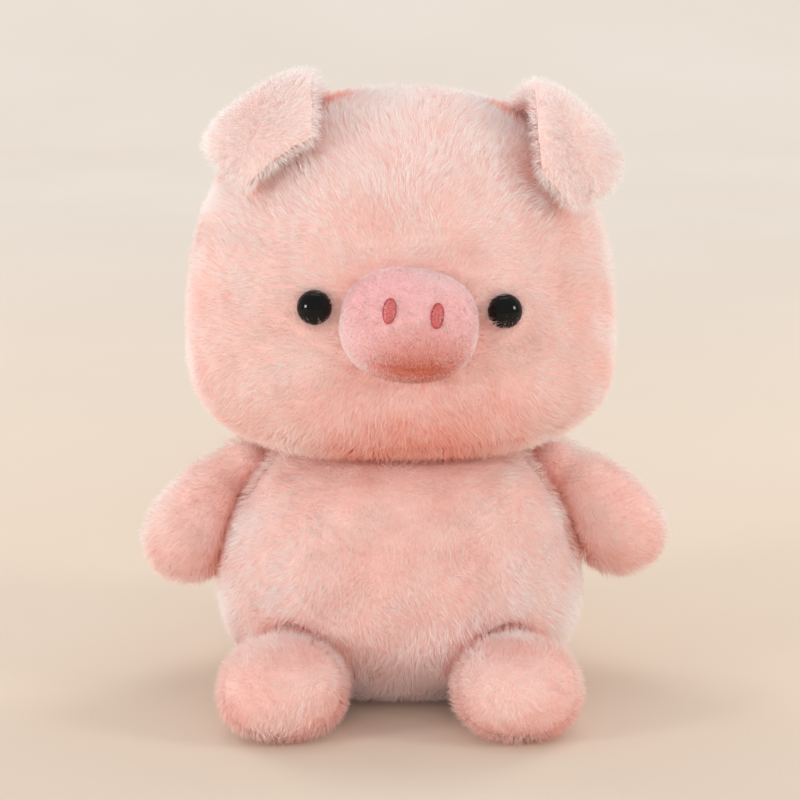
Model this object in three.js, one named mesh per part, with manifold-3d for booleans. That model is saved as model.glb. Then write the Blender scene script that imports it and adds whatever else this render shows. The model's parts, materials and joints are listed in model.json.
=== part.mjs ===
// A seated plush pig: cloth covers, fibre stuffing, plastic eyes and the seams that join them.
// Millimetres, +Z up. The pig faces -Y, its left side is +X, and the origin is on the table under the body.
// Every cover is modelled at the backing of its cloth, with the pile left out.

import * as THREE from "three";
import { mergeVertices } from "three/addons/utils/BufferGeometryUtils.js";
import Module from "manifold-3d";

const wasm = await Module();
wasm.setup();

// Cloth and fits
const COVER = 2; // thickness of a cover, its seams and pressed pile
const CLEARANCE = 0.3; // between pieces that touch
const THREAD = 1.6; // thickness of the rolled seams at the neck, shoulders and hips

// Body: its widest level is BODY_LEVEL above the table
const BODY_WIDTH = 127;
const BODY_DEPTH = 104;
const BODY_LEVEL = 34;
const BODY_RISE = 66; // from the widest level up to the top
const BODY_DROP = 38; // from the widest level down to the uncut bottom
const BODY_SQUARE_TOP = 2.2;
const BODY_SQUARE_BOTTOM = 2.3;

// Neck: a ball under the head that sits in a dish in the body
const NECK_BALL = 25; // radius
const NECK_DROP = 10; // how far the ball stands out below the head
const NECK_OPENING = 12; // radius of the sewn openings that face each other
const NECK_SEAM_ANGLE = 40; // degrees from straight down to the rolled seam
const NECK_SINK = 9; // how far the head's underside sits below the uncut top of the body
const NECK_SLACK = 1; // free height under the head, beside the room for nodding
const HEAD_NOD = 7; // degrees of nodding each way that the body leaves room for
const HEAD_YAW = 2.8; // degrees that the head is sewn on turned to its left

// Head: its widest level is HEAD_DROP above its underside
const HEAD_WIDTH = 146;
const HEAD_DEPTH = 116;
const HEAD_RISE = 88;
const HEAD_DROP = 34;
const HEAD_SQUARE_TOP = 2.5;
const HEAD_SQUARE_BOTTOM = 2.9;
const HEAD_FORWARD = 4; // how far the head's middle is in front of the neck

// Ears: angles on the head, to the side from straight up and forward from straight up
// The sewn edge runs from `inner` to `outer`, the fold stands `stand` mm above the head, and the tip is
// `tip` degrees forward and `lean` degrees further to the side.
const EAR_PANEL = 5; // thickness of the plush panel in the middle
const EAR_LINING = 1.2;
const EAR_GAP = 0.7; // between the panel and its lining
const EAR_HEM = 4; // width of the panel's edge that the lining leaves bare
const EAR_DROOP = 8; // height of the tip above the head
const EAR_ROOT = 2; // forward angle of the sewn edge
const EAR_FOLD = 0.35; // share of the panel's length from the sewn edge to the fold
const EAR_ROUND = 0.45; // share of its length at which the sides start to draw in
const EAR_EDGE_SHARE = 0.3; // thickness of the panel's edges as a share of the middle
const EARS = {
  left: { inner: 28, outer: 51, stand: 15, tip: 38, lean: 5, tipShare: 0.45 },
  right: { inner: 20, outer: 46, stand: 13, tip: 35, lean: 3, tipShare: 0.8 },
};

// Snout: a padded oval on the front of the head
const SNOUT_WIDTH = 46;
const SNOUT_HEIGHT = 38;
const SNOUT_PROUD = 17; // how far it stands out from the head
const SNOUT_SQUARE = 2.4;
const SNOUT_RISE = 11; // forward direction on the head, in degrees above level
const SNOUT_ROLL = 6; // degrees that it is sewn on tilted, its right side up
const NOSTRIL_WIDTH = 4.8;
const NOSTRIL_HEIGHT = 9;
const NOSTRIL_THICK = 0.9;
const NOSTRIL_SPREAD = 8; // from the snout's middle to each nostril
const NOSTRIL_RISE = 6; // above the snout's middle

// Eyes: a dome on a ridged stem, locked by a washer behind the cover
const EYE_WIDTH = 12;
const EYE_DOME = 5;
const EYE_RIM = 0.8;
const EYE_STEM = 4.4; // diameter
const EYE_STEM_LENGTH = 10;
const EYE_RIDGE = 0.25;
const EYE_RIDGES = 2;
const EYE_SPREAD = 24.8; // direction on the head, in degrees to the side
const EYE_RISE = 13.4; // and in degrees above level
const EYE_ROLL = 1.3; // degrees that the pair is tilted, the right eye up
const WASHER_WIDTH = 14;
const WASHER_THICK = 1.4;
const WASHER_BORE = 5.4;

// Arms: an egg, widest at the hand, on a ball that sits in a dish in the body
const SHOULDER_BALL = 10; // radius
const SHOULDER_RISE = 37; // direction on the body, in degrees above level
const SHOULDER_SPREAD = 96; // and in degrees to the side of straight ahead
const SHOULDER_OUT = 4; // how far the ball's middle is outside the body
const SHOULDER_SEAM_ANGLE = 50; // degrees from the ball's inner end to the rolled seam
const ARM_OPENING = 4; // radius of the stuffing hole that the seam closes
const ARM_WIDTH = 30;
const ARM_DEPTH = 25;
const ARM_REACH = 31; // from the shoulder to the widest level of the hand
const HAND_LENGTH = 17; // from there to the tip
const ARM_DROP = { left: 43, right: 50 }; // degrees below level
const ARM_FORWARD = 8; // degrees forward
const ARM_SQUARE_TOP = 2.8;
const ARM_SQUARE_BOTTOM = 2.2;
const ARM_SLACK = 3; // room between the arm and the side of the body

// Legs: a forward-pointing ball with a flat sole, on a ball that sits in a dish in the body
const HIP_BALL = 11; // radius
const HIP_RISE = -22; // direction on the body, in degrees above level
const HIP_SPREAD = 37; // and in degrees to the side of straight ahead
const HIP_OUT = 3; // how far the ball's middle is outside the body
const HIP_SEAM_ANGLE = 50;
const LEG_OPENING = 4;
const LEG_WIDTH = 41;
const LEG_LENGTH = 46;
const LEG_RISE = 15; // from the leg's widest level up
const LEG_DROP = 15.5; // from there down to the uncut sole
const LEG_LEVEL = 15; // height of the widest level
const LEG_REACH = 21; // from the hip to the leg's middle
const LEG_TOE_OUT = 4; // degrees
const LEG_SQUARE = 2.3;
const LEG_SLACK = 4; // room between the leg and the belly

// Tail: a short curled tube at the back
const TAIL_THICK = 7;
const TAIL_COIL = 18; // width of the curl
const TAIL_PITCH = 13; // length of one turn along its axis
const TAIL_TURNS = 1.2;
const TAIL_STEPS = 8;
const TAIL_RISE = 5; // direction on the body, in degrees above level

// Colours
const FUR = { color: 0xf0c8c0, roughness: 0.95 };
const LINING = { color: 0xf2a4a4, roughness: 0.9 };
const VELOUR = { color: 0xf0a6a2, roughness: 0.85 };
const FLOSS = { color: 0xd0585c, roughness: 0.5 };
const GLOSS = { color: 0x0a0808, roughness: 0.08 };
const FIBRE = { color: 0xf4f2ee, roughness: 1 };
const CORD = { color: 0xd98f86, roughness: 0.9 };
const NYLON = { color: 0xe8e8e4, roughness: 0.5 };

const rad = THREE.MathUtils.degToRad;
const V3 = (x, y, z) => new THREE.Vector3(x, y, z);

// Turns a closed geometry into a solid that can be cut and joined.
function solidOf(geometry) {
  const bare = new THREE.BufferGeometry();
  bare.setAttribute("position", geometry.getAttribute("position"));
  bare.setIndex(geometry.getIndex());
  const merged = mergeVertices(bare, 1e-4);
  const vertProperties = new Float32Array(merged.getAttribute("position").array);
  const triVerts = new Uint32Array(merged.getIndex().array);
  return new wasm.Manifold(new wasm.Mesh({ numProp: 3, vertProperties, triVerts }));
}

function geometryOf(solid) {
  const mesh = solid.getMesh();
  const geometry = new THREE.BufferGeometry();
  geometry.setAttribute("position", new THREE.BufferAttribute(new Float32Array(mesh.vertProperties), 3));
  geometry.setIndex(new THREE.BufferAttribute(new Uint32Array(mesh.triVerts), 1));
  return geometry;
}

function addPiece(group, name, solid, look) {
  const geometry = geometryOf(solid);
  geometry.computeVertexNormals();
  const mesh = new THREE.Mesh(geometry, new THREE.MeshStandardMaterial({ metalness: 0, ...look }));
  mesh.name = name;
  group.add(mesh);
}

function addGroup(parent, name, position) {
  const group = new THREE.Group();
  group.name = name;
  group.position.copy(position);
  parent.add(group);
  return group;
}

// A stuffed shape is a rounded box that swells to its widest level and closes above and below it. It gives
// the point of its surface in a direction. `inset` draws the surface inwards, for the inside of a cover.
function stuffedShape({ width, depth, rise, drop, squareTop, squareBottom }) {
  return (direction, inset) => {
    const power = THREE.MathUtils.lerp(squareBottom, squareTop, (direction.z + 1) / 2);
    const sum = direction.toArray().reduce((total, part) => total + Math.abs(part) ** power, 0);
    const reach = sum ** (-1 / power);
    const height = direction.z > 0 ? rise : drop;
    return V3(
      direction.x * reach * (width / 2 - inset),
      direction.y * reach * (depth / 2 - inset),
      direction.z * reach * (height - inset),
    );
  };
}

function stuffedSolid(shape, inset, segments, rings) {
  const geometry = new THREE.SphereGeometry(1, segments, rings).rotateX(Math.PI / 2);
  const position = geometry.getAttribute("position");
  for (let i = 0; i < position.count; i += 1) {
    const point = shape(V3().fromBufferAttribute(position, i).normalize(), inset);
    position.setXYZ(i, point.x, point.y, point.z);
  }
  return solidOf(geometry);
}

function ballSolid(radius, middle, segments) {
  const geometry = new THREE.SphereGeometry(radius, segments, segments / 2).rotateX(Math.PI / 2);
  return solidOf(geometry.translate(middle.x, middle.y, middle.z));
}

// The room for a ball: its flat facets stay outside the round radius.
function ballRoom(radius, middle, segments) {
  return ballSolid(radius / Math.cos(Math.PI / segments) ** 2, middle, segments);
}

// A round bar along +Z of the given frame, between two heights.
function barSolid(radius, from, to, frame, segments = 16) {
  const geometry = new THREE.CylinderGeometry(radius, radius, to - from, segments).rotateX(Math.PI / 2);
  return solidOf(geometry.translate(0, 0, (from + to) / 2).applyMatrix4(frame));
}

function moved(solid, matrix) {
  return solid.transform(matrix.toArray());
}

// A frame on a shape's surface, with +Z straight out of it and +X level.
function surfaceFrame(shape, direction, middle) {
  const side = V3(0, 0, 1).cross(direction).normalize();
  const up = direction.clone().cross(side).normalize();
  const near = (axis, step) => shape(direction.clone().addScaledVector(axis, step).normalize(), 0);
  const across = near(side, 0.02).sub(near(side, -0.02));
  const along = near(up, 0.02).sub(near(up, -0.02));
  const out = across.cross(along).normalize();
  const level = V3(0, 0, 1).cross(out).normalize();
  const frame = new THREE.Matrix4().makeBasis(level, out.clone().cross(level), out);
  return frame.setPosition(shape(direction, 0).add(middle));
}

// The direction that is `around` degrees to the left of straight ahead and `above` degrees above level.
function facing(around, above) {
  const flat = Math.cos(rad(above));
  return V3(flat * Math.sin(rad(around)), -flat * Math.cos(rad(around)), Math.sin(rad(above)));
}

const along = (frame, distance) => V3(0, 0, distance).applyMatrix4(frame);
const SEAM_ROOM = THREAD + 2 * CLEARANCE; // between a ball and its dish

// The rolled seam round a ball, in the space between the ball and its dish. It lies round +Z.
function seamSolid(ball, angle) {
  const radius = ball + CLEARANCE + THREAD / 2;
  const ring = radius * Math.sin(rad(angle));
  const geometry = new THREE.TorusGeometry(ring, THREAD / 2, 5, 16);
  return solidOf(geometry.translate(0, 0, -radius * Math.cos(rad(angle))));
}

// Shapes of the body and the head

const bodyMiddle = V3(0, 0, BODY_LEVEL);
const bodyShape = stuffedShape({
  width: BODY_WIDTH,
  depth: BODY_DEPTH,
  rise: BODY_RISE,
  drop: BODY_DROP,
  squareTop: BODY_SQUARE_TOP,
  squareBottom: BODY_SQUARE_BOTTOM,
});

const headShape = stuffedShape({
  width: HEAD_WIDTH,
  depth: HEAD_DEPTH,
  rise: HEAD_RISE,
  drop: HEAD_DROP,
  squareTop: HEAD_SQUARE_TOP,
  squareBottom: HEAD_SQUARE_BOTTOM,
});
const underside = NECK_DROP - NECK_BALL; // of the head, from the middle of the neck ball
const headMiddle = V3(0, -HEAD_FORWARD, underside + HEAD_DROP);
const neck = V3(0, 0, BODY_LEVEL + BODY_RISE - NECK_SINK - underside);

const SIDES = { left: 1, right: -1 };

// Shoulders and hips on the body

function shoulderFrame(side) {
  return surfaceFrame(bodyShape, facing(side * SHOULDER_SPREAD, SHOULDER_RISE), bodyMiddle);
}

function hipFrame(side) {
  return surfaceFrame(bodyShape, facing(side * HIP_SPREAD, HIP_RISE), bodyMiddle);
}

// The space that the head sweeps over the body as it nods and turns: a dish that falls away from the neck.
function neckDish(inset) {
  const profile = [];
  for (let step = 0; step <= 5; step += 1) {
    const angle = (Math.PI / 2) * (step / 5);
    const point = headShape(V3(Math.sin(angle), 0, -Math.cos(angle)), 0);
    const radius = point.x + HEAD_FORWARD * Math.sin(angle);
    const sag = radius * Math.sin(rad(HEAD_NOD)) + NECK_SLACK + inset;
    profile.push(new THREE.Vector2(radius, neck.z + underside + HEAD_DROP + point.z - sag));
  }
  const top = neck.z + HEAD_DROP;
  profile.push(new THREE.Vector2(profile.at(-1).x, top), new THREE.Vector2(0, top));
  return solidOf(new THREE.LatheGeometry(profile, 16).rotateX(Math.PI / 2));
}

// The body is pressed in by the head, and dished for the neck ball, the shoulders and the hips.
function bodySolid(inset, segments, rings) {
  const dish = SEAM_ROOM + inset;
  const placed = new THREE.Matrix4().setPosition(bodyMiddle);
  let solid = moved(stuffedSolid(bodyShape, inset, segments, rings), placed);
  solid = solid.subtract(neckDish(inset)).subtract(ballRoom(NECK_BALL + dish, neck, 16));
  for (const side of Object.values(SIDES)) {
    solid = solid.subtract(ballRoom(SHOULDER_BALL + dish, along(shoulderFrame(side), SHOULDER_OUT), 10));
    solid = solid.subtract(ballRoom(HIP_BALL + dish, along(hipFrame(side), HIP_OUT), 10));
  }
  const below = new THREE.BoxGeometry(2 * BODY_WIDTH, 2 * BODY_DEPTH, BODY_LEVEL);
  return solid.subtract(solidOf(below.translate(0, 0, inset - BODY_LEVEL / 2)));
}

function headSolid(inset, segments, rings) {
  const placed = new THREE.Matrix4().setPosition(headMiddle);
  const solid = moved(stuffedSolid(headShape, inset, segments, rings), placed);
  return solid.add(ballSolid(NECK_BALL - inset, V3(), 16));
}

const pig = new THREE.Group();
pig.name = "plush_pig";

// Body

const bodyGroup = addGroup(pig, "body", V3());
const throat = new THREE.Matrix4().setPosition(neck);
const bodyOpening = barSolid(NECK_OPENING, -2 * NECK_BALL, 0, throat);
const bodyCover = bodySolid(0, 26, 14).subtract(bodySolid(COVER, 16, 8)).subtract(bodyOpening);
addPiece(bodyGroup, "body_cover", bodyCover, FUR);
addPiece(bodyGroup, "body_stuffing", bodySolid(COVER + CLEARANCE, 16, 8), FIBRE);

// Neck and head

const headGroup = addGroup(pig, "head", neck);
headGroup.rotation.z = rad(HEAD_YAW);
addPiece(headGroup, "neck_seam", seamSolid(NECK_BALL, NECK_SEAM_ANGLE), CORD);

const eyeFrames = {};
for (const [name, side] of Object.entries(SIDES)) {
  const direction = facing(side * EYE_SPREAD, EYE_RISE).applyAxisAngle(V3(0, 1, 0), rad(EYE_ROLL));
  eyeFrames[name] = surfaceFrame(headShape, direction, headMiddle);
}
let headCover = headSolid(0, 28, 18).subtract(headSolid(COVER, 16, 10));
headCover = headCover.subtract(barSolid(NECK_OPENING, -2 * NECK_BALL, 0, new THREE.Matrix4()));
let headStuffing = headSolid(COVER + CLEARANCE, 16, 10);
for (const frame of Object.values(eyeFrames)) {
  const hole = EYE_STEM / 2 + EYE_RIDGE + CLEARANCE;
  const pocket = WASHER_WIDTH / 2 + CLEARANCE;
  headCover = headCover.subtract(barSolid(hole, -2 * COVER, COVER, frame));
  headCover = headCover.subtract(barSolid(pocket, -3 * COVER, -COVER, frame));
  headStuffing = headStuffing.subtract(barSolid(hole, -EYE_STEM_LENGTH - CLEARANCE, 0, frame));
  headStuffing = headStuffing.subtract(barSolid(pocket, -COVER - WASHER_THICK - 2 * CLEARANCE, 0, frame));
}
addPiece(headGroup, "head_cover", headCover, FUR);
addPiece(headGroup, "head_stuffing", headStuffing, FIBRE);

// Eyes and their washers

function eyeSolid() {
  const stem = EYE_STEM / 2;
  const profile = [new THREE.Vector2(0, -EYE_STEM_LENGTH), new THREE.Vector2(stem, -EYE_STEM_LENGTH)];
  const pitch = (EYE_STEM_LENGTH - 2 * COVER) / (2 * EYE_RIDGES);
  for (let ridge = 0; ridge < 2 * EYE_RIDGES; ridge += 1) {
    const out = ridge % 2 === 0 ? EYE_RIDGE : 0;
    profile.push(new THREE.Vector2(stem + out, -EYE_STEM_LENGTH + (ridge + 1) * pitch));
  }
  profile.push(new THREE.Vector2(stem, CLEARANCE), new THREE.Vector2(EYE_WIDTH / 2, CLEARANCE));
  for (let step = 0; step <= 5; step += 1) {
    const angle = (Math.PI / 2) * (step / 5);
    const radius = step === 5 ? 0 : (EYE_WIDTH / 2) * Math.cos(angle);
    profile.push(new THREE.Vector2(radius, CLEARANCE + EYE_RIM + EYE_DOME * Math.sin(angle)));
  }
  return solidOf(new THREE.LatheGeometry(profile, 16).rotateX(Math.PI / 2));
}

function washerSolid() {
  const top = -COVER - CLEARANCE;
  const disc = barSolid(WASHER_WIDTH / 2, top - WASHER_THICK, top, new THREE.Matrix4());
  return disc.subtract(barSolid(WASHER_BORE / 2, top - 2 * WASHER_THICK, 0, new THREE.Matrix4()));
}

for (const [name, frame] of Object.entries(eyeFrames)) {
  const eyeGroup = addGroup(headGroup, `eye_${name}_place`, V3());
  frame.decompose(eyeGroup.position, eyeGroup.quaternion, eyeGroup.scale);
  addPiece(eyeGroup, `eye_${name}`, eyeSolid(), GLOSS);
  addPiece(eyeGroup, `eye_${name}_washer`, washerSolid(), NYLON);
}

// Snout, sewn on to the front of the head

const snoutFrame = surfaceFrame(headShape, facing(0, SNOUT_RISE), headMiddle);
snoutFrame.multiply(new THREE.Matrix4().makeRotationZ(rad(-SNOUT_ROLL)));
const snoutShape = stuffedShape({
  width: SNOUT_WIDTH,
  depth: SNOUT_HEIGHT,
  rise: SNOUT_PROUD,
  drop: SNOUT_PROUD,
  squareTop: SNOUT_SQUARE,
  squareBottom: SNOUT_SQUARE,
});
const face = (inset) => {
  const placed = new THREE.Matrix4().setPosition(headMiddle);
  return moved(stuffedSolid(headShape, inset, 28, 18), placed.premultiply(snoutFrame.clone().invert()));
};
const snoutGroup = addGroup(headGroup, "snout", V3());
snoutFrame.decompose(snoutGroup.position, snoutGroup.quaternion, snoutGroup.scale);
const snoutBack = face(-CLEARANCE);
const snoutInside = stuffedSolid(snoutShape, COVER, 14, 8);
const snoutCover = stuffedSolid(snoutShape, 0, 24, 14).subtract(snoutInside).subtract(snoutBack);
addPiece(snoutGroup, "snout_cover", snoutCover, VELOUR);
const snoutStuffing = stuffedSolid(snoutShape, COVER + CLEARANCE, 14, 8).subtract(snoutBack);
addPiece(snoutGroup, "snout_stuffing", snoutStuffing, FIBRE);

// Nostrils, worked in floss on the front of the snout
const nostrilBack = stuffedSolid(snoutShape, -CLEARANCE, 24, 14);
const nostrilFront = stuffedSolid(snoutShape, -CLEARANCE - NOSTRIL_THICK, 24, 14);
for (const [name, side] of Object.entries(SIDES)) {
  const oval = new THREE.CylinderGeometry(1, 1, SNOUT_PROUD, 18).rotateX(Math.PI / 2);
  oval.scale(NOSTRIL_WIDTH / 2, NOSTRIL_HEIGHT / 2, 1);
  oval.translate(side * NOSTRIL_SPREAD, NOSTRIL_RISE, SNOUT_PROUD);
  addPiece(snoutGroup, `nostril_${name}`, nostrilFront.intersect(solidOf(oval)).subtract(nostrilBack), FLOSS);
}

// Ears: each is a plush panel with a lining under it, sewn along one edge and folded forward over the head

// How high the panel is above the head: sewn down at the root, up to the fold and down to the tip.
function earHeight(ear, out) {
  const root = CLEARANCE + (EAR_PANEL * EAR_EDGE_SHARE) / 2;
  const rise = Math.sin((Math.PI / 2) * Math.min(1, out / EAR_FOLD));
  return root + (THREE.MathUtils.lerp(ear.stand, EAR_DROOP, out ** 2) - root) * rise;
}

// The middle of the panel: `across` runs from its inner end to its outer, `out` from its root to its tip.
function earPoint(side, ear, across, out) {
  const forward = rad(THREE.MathUtils.lerp(EAR_ROOT, ear.tip, out));
  const spread = side * rad(THREE.MathUtils.lerp(ear.inner, ear.outer, across) + ear.lean * out);
  const flat = Math.cos(forward);
  const direction = V3(flat * Math.sin(spread), -Math.sin(forward), flat * Math.cos(spread));
  return headShape(direction, -earHeight(ear, Math.max(0, out))).add(headMiddle);
}

function earNormal(side, ear, across, out) {
  const along = earPoint(side, ear, across, out + 0.02).sub(earPoint(side, ear, across, out));
  const aside = earPoint(side, ear, across + 0.02, out).sub(earPoint(side, ear, across - 0.02, out));
  return along.cross(aside).multiplyScalar(side).normalize();
}

function earSolid(side, ear, hem, thick, lift) {
  const root = earPoint(side, ear, 0.5, 0);
  const halfWidth = earPoint(side, ear, 0, 0).distanceTo(earPoint(side, ear, 1, 0)) / 2;
  const length = earPoint(side, ear, 0.5, 1).distanceTo(root);
  const drawn = (1 - EAR_ROUND) / Math.sqrt(1 - ear.tipShare ** 2);
  const geometry = new THREE.BoxGeometry(1, 1, 1, 8, 12, 1);
  const position = geometry.getAttribute("position");
  for (let i = 0; i < position.count; i += 1) {
    const [x, y, z] = [2 * position.getX(i), 2 * position.getY(i), position.getZ(i)];
    const out = THREE.MathUtils.lerp(hem / length, 1 - hem / length, (y + 1) / 2);
    const narrow = Math.sqrt(1 - Math.max(0, (out - EAR_ROUND) / drawn) ** 2);
    const across = 0.5 - (side * x * (narrow - hem / halfWidth)) / 2;
    const full = THREE.MathUtils.lerp(EAR_EDGE_SHARE, 1, Math.sqrt((1 - x ** 4) * (1 - y ** 8)));
    const point = earPoint(side, ear, across, out).sub(root);
    point.addScaledVector(earNormal(side, ear, across, out), lift + z * thick * full);
    position.setXYZ(i, point.x, point.y, point.z);
  }
  return solidOf(geometry);
}

for (const [name, side] of Object.entries(SIDES)) {
  const ear = EARS[name];
  const earGroup = addGroup(headGroup, `ear_${name}`, earPoint(side, ear, 0.5, 0));
  const under = -(EAR_PANEL + EAR_LINING) / 2 - EAR_GAP;
  addPiece(earGroup, `ear_${name}_panel`, earSolid(side, ear, 0, EAR_PANEL, 0), FUR);
  addPiece(earGroup, `ear_${name}_lining`, earSolid(side, ear, EAR_HEM, EAR_LINING, under), LINING);
}

// Arms

const armShape = stuffedShape({
  width: ARM_WIDTH,
  depth: ARM_DEPTH,
  rise: ARM_REACH,
  drop: HAND_LENGTH,
  squareTop: ARM_SQUARE_TOP,
  squareBottom: ARM_SQUARE_BOTTOM,
});

// The body with room round it, as seen from a limb that it presses in.
function bodyRoom(room, limb) {
  const placed = new THREE.Matrix4().setPosition(bodyMiddle).premultiply(limb.matrix.clone().invert());
  return moved(stuffedSolid(bodyShape, -room, 18, 10), placed);
}

function armSolid(arm, inset, segments, rings) {
  const placed = new THREE.Matrix4().setPosition(V3(0, 0, -ARM_REACH));
  const solid = moved(stuffedSolid(armShape, inset, segments, rings), placed);
  return solid.subtract(bodyRoom(ARM_SLACK + inset, arm)).add(ballSolid(SHOULDER_BALL - inset, V3(), 12));
}

for (const [name, side] of Object.entries(SIDES)) {
  const frame = shoulderFrame(side);
  const arm = addGroup(pig, `arm_${name}`, along(frame, SHOULDER_OUT));
  const seam = addGroup(pig, `shoulder_${name}`, arm.position);
  seam.quaternion.setFromRotationMatrix(frame);
  addPiece(seam, `shoulder_${name}_seam`, seamSolid(SHOULDER_BALL, SHOULDER_SEAM_ANGLE), CORD);

  arm.rotation.set(rad(-ARM_FORWARD), -side * rad(90 - ARM_DROP[name]), 0);
  arm.updateMatrix();
  const inward = frame.clone().setPosition(arm.position).premultiply(arm.matrix.clone().invert());
  const opening = barSolid(ARM_OPENING, -2 * SHOULDER_BALL, 0, inward, 12);
  const cover = armSolid(arm, 0, 14, 10).subtract(armSolid(arm, COVER, 8, 6)).subtract(opening);
  addPiece(arm, `arm_${name}_cover`, cover, FUR);
  addPiece(arm, `arm_${name}_stuffing`, armSolid(arm, COVER + CLEARANCE, 8, 6), FIBRE);
}

// Legs

const legShape = stuffedShape({
  width: LEG_WIDTH,
  depth: LEG_LENGTH,
  rise: LEG_RISE,
  drop: LEG_DROP,
  squareTop: LEG_SQUARE,
  squareBottom: LEG_SQUARE,
});

function legSolid(leg, inset, segments, rings) {
  const table = -leg.position.z;
  const placed = new THREE.Matrix4().setPosition(V3(0, -LEG_REACH, table + LEG_LEVEL));
  const solid = moved(stuffedSolid(legShape, inset, segments, rings), placed);
  const below = new THREE.BoxGeometry(4 * LEG_WIDTH, 4 * LEG_LENGTH, LEG_LEVEL);
  const sole = solidOf(below.translate(0, 0, table + inset - LEG_LEVEL / 2));
  const cut = solid.subtract(sole).subtract(bodyRoom(LEG_SLACK + inset, leg));
  return cut.add(ballSolid(HIP_BALL - inset, V3(), 12));
}

for (const [name, side] of Object.entries(SIDES)) {
  const frame = hipFrame(side);
  const leg = addGroup(pig, `leg_${name}`, along(frame, HIP_OUT));
  const seam = addGroup(pig, `hip_${name}`, leg.position);
  seam.quaternion.setFromRotationMatrix(frame);
  addPiece(seam, `hip_${name}_seam`, seamSolid(HIP_BALL, HIP_SEAM_ANGLE), CORD);

  leg.rotation.z = side * rad(LEG_TOE_OUT);
  leg.updateMatrix();
  const inward = frame.clone().setPosition(leg.position).premultiply(leg.matrix.clone().invert());
  const opening = barSolid(LEG_OPENING, -2 * HIP_BALL, 0, inward, 12);
  const cover = legSolid(leg, 0, 18, 10).subtract(legSolid(leg, COVER, 10, 6)).subtract(opening);
  addPiece(leg, `leg_${name}_cover`, cover, FUR);
  addPiece(leg, `leg_${name}_stuffing`, legSolid(leg, COVER + CLEARANCE, 10, 6), FIBRE);
}

// Tail: one stuffed roll, curled once, with a rounded root on the back of the body

const tailFrame = surfaceFrame(bodyShape, facing(180, TAIL_RISE), bodyMiddle);
const tailGroup = addGroup(pig, "tail_place", along(tailFrame, TAIL_THICK / 2 + CLEARANCE));
tailGroup.quaternion.setFromRotationMatrix(tailFrame);
const curl = [V3(), V3(0, 0, TAIL_THICK / 2)];
for (let step = 1; step <= TAIL_STEPS; step += 1) {
  const turn = (2 * Math.PI * TAIL_TURNS * step) / TAIL_STEPS;
  const radius = (TAIL_COIL - TAIL_THICK) / 2;
  const rise = TAIL_THICK / 2 + (TAIL_PITCH * TAIL_TURNS * step) / TAIL_STEPS;
  curl.push(V3(radius * (1 - Math.cos(turn)), radius * Math.sin(turn), rise));
}
const round = new THREE.Shape().absarc(0, 0, TAIL_THICK / 2, 0, 2 * Math.PI);
const roll = new THREE.ExtrudeGeometry(round, {
  curveSegments: 3,
  steps: 2 * TAIL_STEPS,
  bevelEnabled: false,
  extrudePath: new THREE.CatmullRomCurve3(curl),
});
const tailEnds = ballSolid(TAIL_THICK / 2, V3(), 8).add(ballSolid(TAIL_THICK / 2, curl.at(-1), 8));
addPiece(tailGroup, "tail", solidOf(roll).add(tailEnds), FUR);

export default pig;
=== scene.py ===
import json
import math

import bmesh
import bpy
import numpy as np
from mathutils import Matrix, Vector
from mathutils.bvhtree import BVHTree
from mathutils.kdtree import KDTree


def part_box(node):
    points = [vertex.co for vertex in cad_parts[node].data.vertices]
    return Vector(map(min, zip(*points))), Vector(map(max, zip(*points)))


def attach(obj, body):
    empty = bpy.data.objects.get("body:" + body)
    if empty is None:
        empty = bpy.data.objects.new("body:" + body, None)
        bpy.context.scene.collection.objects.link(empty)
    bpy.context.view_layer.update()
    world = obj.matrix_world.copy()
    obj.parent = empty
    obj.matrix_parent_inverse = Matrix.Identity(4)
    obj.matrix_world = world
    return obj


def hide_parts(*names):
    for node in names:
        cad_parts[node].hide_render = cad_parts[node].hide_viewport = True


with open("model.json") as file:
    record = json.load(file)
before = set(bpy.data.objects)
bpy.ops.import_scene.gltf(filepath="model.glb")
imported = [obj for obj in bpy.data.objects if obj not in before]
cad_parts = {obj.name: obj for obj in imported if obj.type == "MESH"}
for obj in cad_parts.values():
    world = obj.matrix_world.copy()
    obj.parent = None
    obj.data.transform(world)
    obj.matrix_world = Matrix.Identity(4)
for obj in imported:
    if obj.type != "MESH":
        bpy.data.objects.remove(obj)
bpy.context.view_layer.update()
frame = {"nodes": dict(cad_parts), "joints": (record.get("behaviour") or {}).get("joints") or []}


# Studio: a pale paper floor that sweeps up into a backdrop, soft light from large panels at both sides,
# above, behind and in front, and a camera a metre off and a little above the toy.

scene = bpy.context.scene


def screen(red, green, blue):
    """A colour given as it looks on a screen, 0 to 255, as linear light."""
    share = [value / 255 for value in (red, green, blue)]
    return tuple(s / 12.92 if s < 0.04045 else ((s + 0.055) / 1.055) ** 2.4 for s in share) + (1.0,)


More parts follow.
